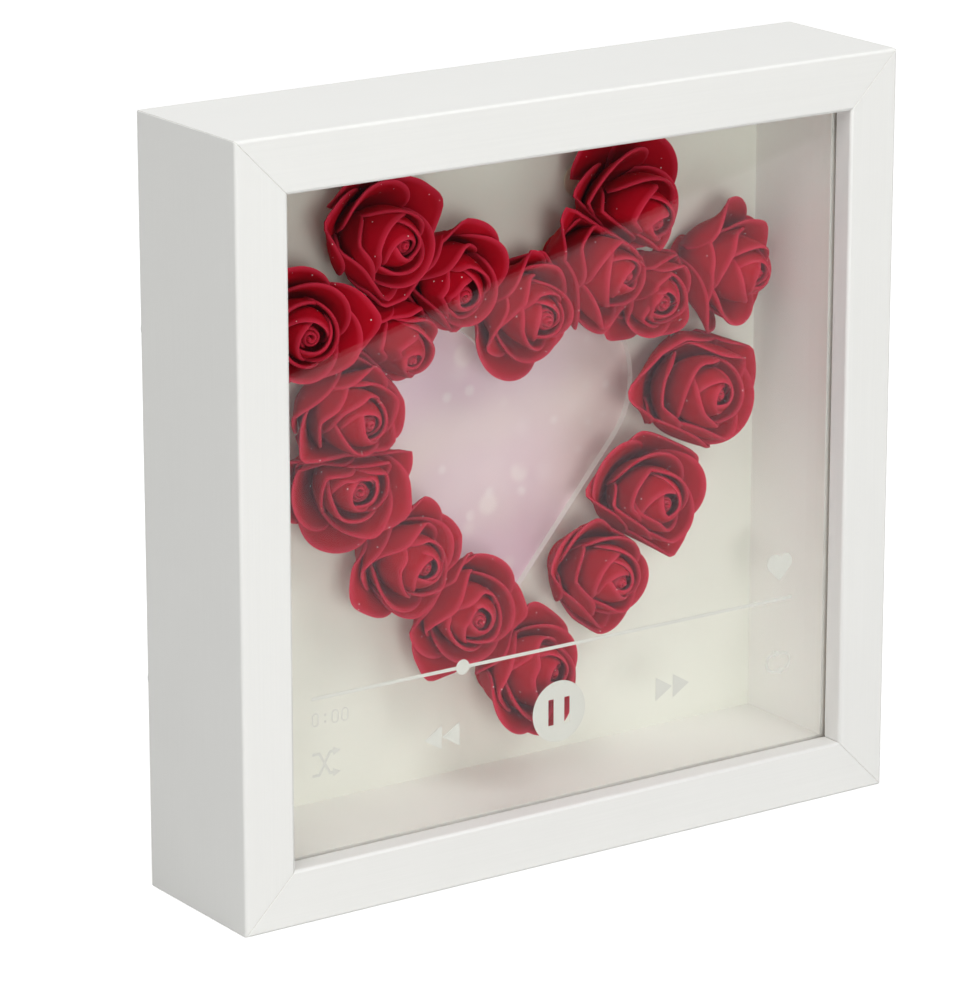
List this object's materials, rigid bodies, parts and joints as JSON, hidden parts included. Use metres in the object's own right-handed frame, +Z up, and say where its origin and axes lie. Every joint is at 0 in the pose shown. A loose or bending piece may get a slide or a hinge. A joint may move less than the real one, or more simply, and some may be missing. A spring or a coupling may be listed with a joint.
{
  "type": "shadow box photo frame",
  "caption": "Square white shadow box photo frame: a heart window ringed by red foam roses behind glass printed with music player symbols; turn buttons hold its back board.",
  "frame": {"origin": "middle of the base, half way between the front face and the back of the moulding", "axes": "+Z up, -Y out of the front, +X to the right seen from the front"},
  "size_m": [0.2, 0.0478, 0.2],
  "materials": {
    "white_moulding": "satin white foil over MDF",
    "white_spacer": "smooth white foil over MDF",
    "clear_glass": "polished clear",
    "white_ink": "matte printed ink",
    "cream_mat": "matte cream card",
    "photo_paper": "satin photo paper",
    "rose_foam": "matte soft foam sheet",
    "hot_melt_glue": "translucent, matte",
    "hardboard": "smooth brown hardboard",
    "zinc_steel": "zinc plated"
  },
  "bodies": {
    "frame": {"bottom_rail": "white_moulding", "top_rail": "white_moulding", "left_stile": "white_moulding", "right_stile": "white_moulding", "spacer_left": "white_spacer", "spacer_right": "white_spacer", "spacer_bottom": "white_spacer", "spacer_top": "white_spacer", "rose_01": "rose_foam", "rose_02": "rose_foam", "rose_03": "rose_foam", "rose_04": "rose_foam", "rose_05": "rose_foam", "rose_06": "rose_foam", "rose_07": "rose_foam", "rose_08": "rose_foam", "rose_09": "rose_foam", "rose_10": "rose_foam", "rose_11": "rose_foam", "rose_12": "rose_foam", "rose_13": "rose_foam", "rose_14": "rose_foam", "rose_15": "rose_foam", "rose_16": "rose_foam", "rose_17": "rose_foam", "front_pane": "clear_glass", "player_print": "white_ink", "mat_board": "cream_mat", "photo_print": "photo_paper", "glue_dots": "hot_melt_glue", "back_board": "hardboard", "corner_v_nails": "zinc_steel", "button_screws": "zinc_steel", "sawtooth_hanger": "zinc_steel", "hanger_nails": "zinc_steel"},
    "button_upper_left": {"turn_button_upper_left": "zinc_steel"},
    "button_lower_left": {"turn_button_lower_left": "zinc_steel"},
    "button_upper_right": {"turn_button_upper_right": "zinc_steel"},
    "button_lower_right": {"turn_button_lower_right": "zinc_steel"}
  },
  "joints": [
    {"name": "button_upper_left_turn", "type": "hinge", "parent": "frame", "child": "button_upper_left", "pos_m": [-0.0955, 0.0225, 0.145], "axis": [0, 1, 0], "continuous": true},
    {"name": "button_lower_left_turn", "type": "hinge", "parent": "frame", "child": "button_lower_left", "pos_m": [-0.0955, 0.0225, 0.055], "axis": [0, 1, 0], "continuous": true},
    {"name": "button_upper_right_turn", "type": "hinge", "parent": "frame", "child": "button_upper_right", "pos_m": [0.0955, 0.0225, 0.145], "axis": [0, 1, 0], "continuous": true},
    {"name": "button_lower_right_turn", "type": "hinge", "parent": "frame", "child": "button_lower_right", "pos_m": [0.0955, 0.0225, 0.055], "axis": [0, 1, 0], "continuous": true}
  ]
}
